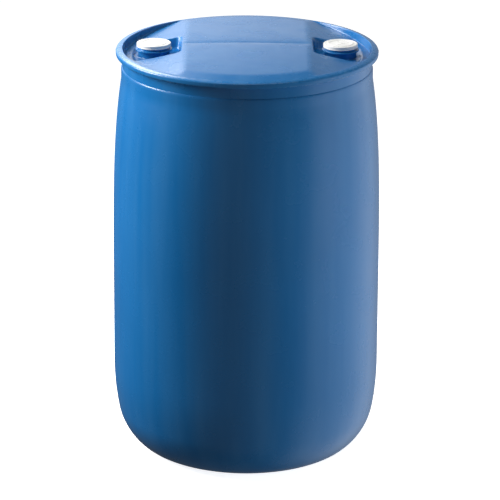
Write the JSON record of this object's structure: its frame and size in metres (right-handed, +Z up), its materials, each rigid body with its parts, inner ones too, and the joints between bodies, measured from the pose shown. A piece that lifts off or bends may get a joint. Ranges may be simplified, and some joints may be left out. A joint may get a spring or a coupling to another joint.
{
  "type": "plastic chemical drum",
  "caption": "Tight-head blue plastic drum with an L-shaped handling ring, recessed threaded necks, screw plugs with gaskets and white cap seals.",
  "frame": {"origin": "centre of the flat foot circle, on the floor", "axes": "+Z up along the drum's axis; +X through the right-hand neck (the one with the vent plug); the raised deck runs along Y"},
  "size_m": [0.5849, 0.585, 0.92],
  "materials": {
    "shell_blue": "satin blow-moulded polyethylene",
    "seal_white": "smooth moulded polyethylene",
    "plug_white": "moulded polyethylene",
    "gasket_black": "matte elastomer"
  },
  "bodies": {
    "shell": {"drum_shell": "shell_blue"},
    "left_gasket": {"left_plug_gasket": "gasket_black"},
    "left_plug": {"left_plug": "plug_white"},
    "left_seal": {"left_cap_seal": "seal_white"},
    "right_gasket": {"right_plug_gasket": "gasket_black"},
    "right_plug": {"right_plug": "plug_white"},
    "vent_gasket": {"vent_plug_gasket": "gasket_black"},
    "vent_plug": {"vent_plug": "plug_white"},
    "right_seal": {"right_cap_seal": "seal_white"}
  },
  "joints": [
    {"name": "left_plug_rise", "type": "slide", "parent": "shell", "child": "left_gasket", "axis": [0, 0, 1], "range_m": [0, 0.01385]},
    {"name": "left_plug_turn", "type": "hinge", "parent": "left_gasket", "child": "left_plug", "pos_m": [-0.202, 0, 0.9], "axis": [0, 0, 1], "range_deg": [0, 2160]},
    {"name": "left_seal_lift", "type": "slide", "parent": "left_gasket", "child": "left_seal", "axis": [0, 0, 1], "range_m": [0, 0.03]},
    {"name": "right_plug_rise", "type": "slide", "parent": "shell", "child": "right_gasket", "axis": [0, 0, 1], "range_m": [0, 0.016]},
    {"name": "right_plug_turn", "type": "hinge", "parent": "right_gasket", "child": "right_plug", "pos_m": [0.202, 0, 0.9], "axis": [0, 0, 1], "range_deg": [0, 1440]},
    {"name": "vent_plug_rise", "type": "slide", "parent": "right_plug", "child": "vent_gasket", "axis": [0, 0, 1], "range_m": [0, 0.01088]},
    {"name": "vent_plug_turn", "type": "hinge", "parent": "vent_gasket", "child": "vent_plug", "pos_m": [0.202, 0, 0.9], "axis": [0, 0, 1], "range_deg": [0, 2160]},
    {"name": "right_seal_lift", "type": "slide", "parent": "vent_gasket", "child": "right_seal", "axis": [0, 0, 1], "range_m": [0, 0.03]}
  ],
  "couplings": [
    {"joint": "left_plug_rise", "follows": "left_plug_turn", "m_per_rad": 0.00036749},
    {"joint": "right_plug_rise", "follows": "right_plug_turn", "m_per_rad": 0.00063662},
    {"joint": "vent_plug_rise", "follows": "vent_plug_turn", "m_per_rad": 0.00028871}
  ]
}
